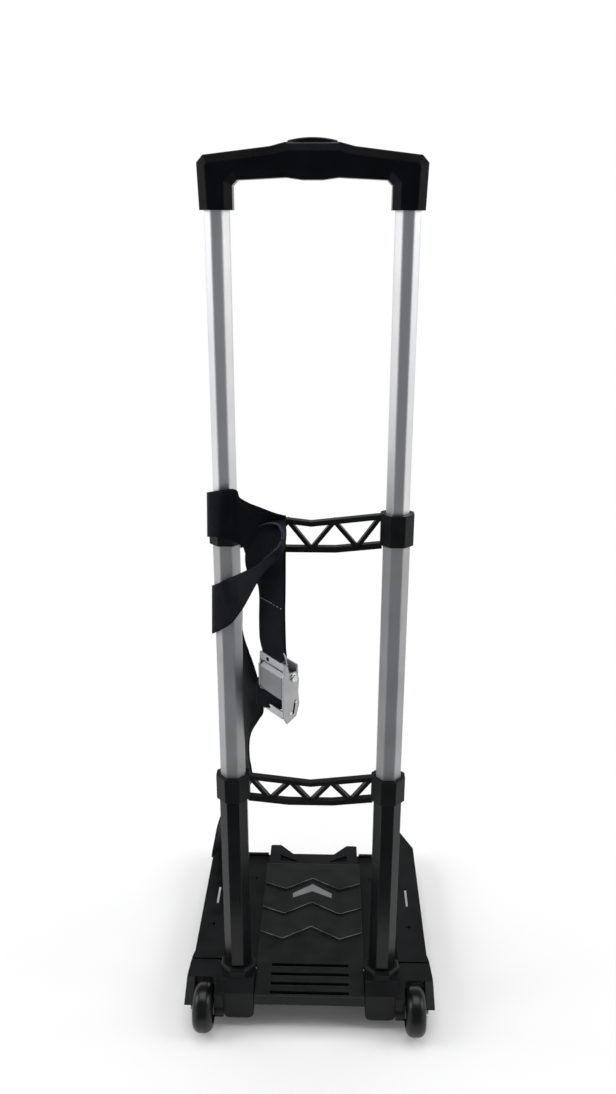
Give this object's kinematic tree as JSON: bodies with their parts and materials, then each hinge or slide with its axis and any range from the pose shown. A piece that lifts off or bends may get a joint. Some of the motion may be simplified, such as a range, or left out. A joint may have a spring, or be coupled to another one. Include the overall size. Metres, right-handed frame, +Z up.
{
  "type": "hand truck",
  "caption": "Folding telescopic luggage cart with octagonal posts, lattice crossbars, a bevelled grip, a folding plate, small wheels and a webbing strap with a cam buckle.",
  "frame": {"origin": "on the floor under the middle of the footprint", "axes": "+X to the user's right, +Y away from the user along the plate, +Z up the posts"},
  "size_m": [0.302, 0.3454, 1.0001],
  "materials": {
    "black_plastic": "fine matte grain",
    "grey_plastic": "satin",
    "satin_aluminium": "satin anodised",
    "black_tube": "gloss",
    "tyre_rubber": "semi-gloss",
    "pad_rubber": "matte",
    "bright_steel": "bright",
    "dark_steel": "blackened",
    "black_webbing": "woven"
  },
  "bodies": {
    "chassis": {"left_foot": "black_plastic", "right_foot": "black_plastic", "lower_tube_left": "black_tube", "lower_tube_right": "black_tube", "lower_crossbar": "black_plastic", "lower_bushes": "black_plastic", "lower_collar_screws": "dark_steel", "foot_screws": "dark_steel", "hinge_rod": "bright_steel", "left_axle": "bright_steel", "right_axle": "bright_steel"},
    "plate": {"base_plate": "black_plastic", "centre_deck": "black_plastic", "chevron_accent": "grey_plastic", "foot_pads": "pad_rubber", "deck_screws": "dark_steel", "strap_tail_lower": "black_webbing"},
    "left_wheel": {"left_tyre": "tyre_rubber", "left_hub": "black_plastic", "left_wheel_bushes": "grey_plastic"},
    "right_wheel": {"right_tyre": "tyre_rubber", "right_hub": "black_plastic", "right_wheel_bushes": "grey_plastic"},
    "middle_stage": {"middle_tube_left": "satin_aluminium", "middle_tube_right": "satin_aluminium", "upper_crossbar": "black_plastic", "upper_bushes": "black_plastic", "upper_collar_screws": "dark_steel", "middle_plugs": "black_plastic", "middle_lock_springs": "bright_steel", "strap_collar_wrap": "black_webbing", "strap_front_run": "black_webbing", "strap_hanger": "black_webbing", "strap_tube_wrap": "black_webbing", "strap_cross_run": "black_webbing", "strap_tail_upper": "black_webbing", "buckle_frame": "bright_steel", "buckle_pin": "bright_steel", "buckle_bar": "bright_steel"},
    "upper_stage": {"upper_tube_left": "satin_aluminium", "upper_tube_right": "satin_aluminium", "upper_plugs": "black_plastic", "upper_lock_springs": "bright_steel", "handle_front_shell": "black_plastic", "handle_rear_shell": "black_plastic", "handle_screws": "dark_steel", "button_springs": "bright_steel"},
    "release": {"release_button": "black_plastic", "release_bar": "black_plastic", "push_rods": "bright_steel"},
    "cam_lever": {"buckle_lever": "bright_steel"}
  },
  "joints": [
    {"name": "plate_fold", "type": "hinge", "parent": "chassis", "child": "plate", "pos_m": [0, -0.10075, 0.0465], "axis": [1, 0, 0], "range_deg": [0, 90], "deforming": ["strap_tail_lower"]},
    {"name": "left_wheel_spin", "type": "hinge", "parent": "chassis", "child": "left_wheel", "pos_m": [-0.128, -0.14425, 0.0285], "axis": [1, 0, 0], "continuous": true},
    {"name": "right_wheel_spin", "type": "hinge", "parent": "chassis", "child": "right_wheel", "pos_m": [0.128, -0.14425, 0.0285], "axis": [1, 0, 0], "continuous": true},
    {"name": "middle_slide", "type": "slide", "parent": "chassis", "child": "middle_stage", "axis": [0, 0, 1], "range_m": [-0.258, 0], "deforming": ["middle_lock_springs", "strap_tube_wrap", "strap_cross_run", "strap_tail_upper"]},
    {"name": "upper_slide", "type": "slide", "parent": "middle_stage", "child": "upper_stage", "axis": [0, 0, 1], "range_m": [-0.264, 0], "deforming": ["upper_lock_springs"]},
    {"name": "button_press", "type": "slide", "parent": "upper_stage", "child": "release", "axis": [0, 0, 1], "range_m": [-0.004, 0], "deforming": ["button_springs"]},
    {"name": "lever_open", "type": "hinge", "parent": "middle_stage", "child": "cam_lever", "pos_m": [-0.03045, -0.14332, 0.484], "axis": [-0.6293, 0.7771, 0], "range_deg": [0, 55]}
  ]
}
